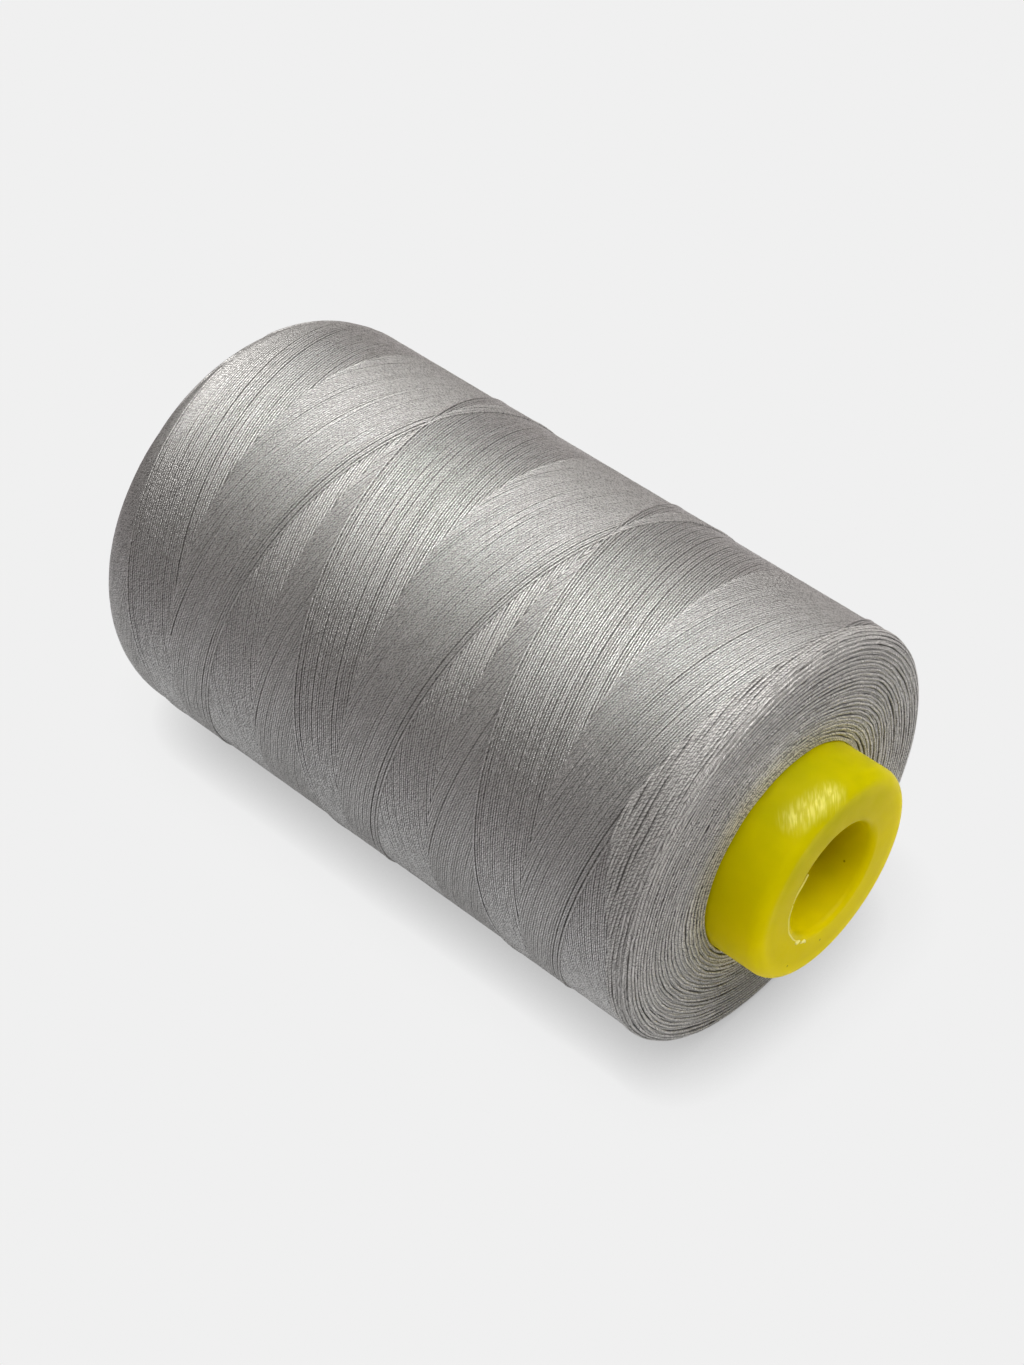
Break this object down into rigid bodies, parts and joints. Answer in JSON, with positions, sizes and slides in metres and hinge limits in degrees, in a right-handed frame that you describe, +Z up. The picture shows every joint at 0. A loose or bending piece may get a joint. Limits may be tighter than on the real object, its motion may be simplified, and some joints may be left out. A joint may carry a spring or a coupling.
{
  "type": "king spool of sewing thread",
  "caption": "Cross-wound package of grey sewing thread with rounded shoulders on a yellow moulded plastic core, lying on its side.",
  "frame": {"origin": "under the middle of the spool, on the flat that it rests on", "axes": "+X along the spool's axis towards the closed end of the core, +Z up from the surface the spool lies on"},
  "size_m": [0.11, 0.06, 0.0598],
  "materials": {
    "core_plastic": "satin gloss injection-moulded polypropylene, yellow",
    "spun_thread": "spun polyester sewing thread, two-ply, mid grey"
  },
  "bodies": {
    "root": {"moulded_core": "core_plastic", "wound_thread": "spun_thread", "outer_thread_turns": "spun_thread"}
  },
  "joints": []
}
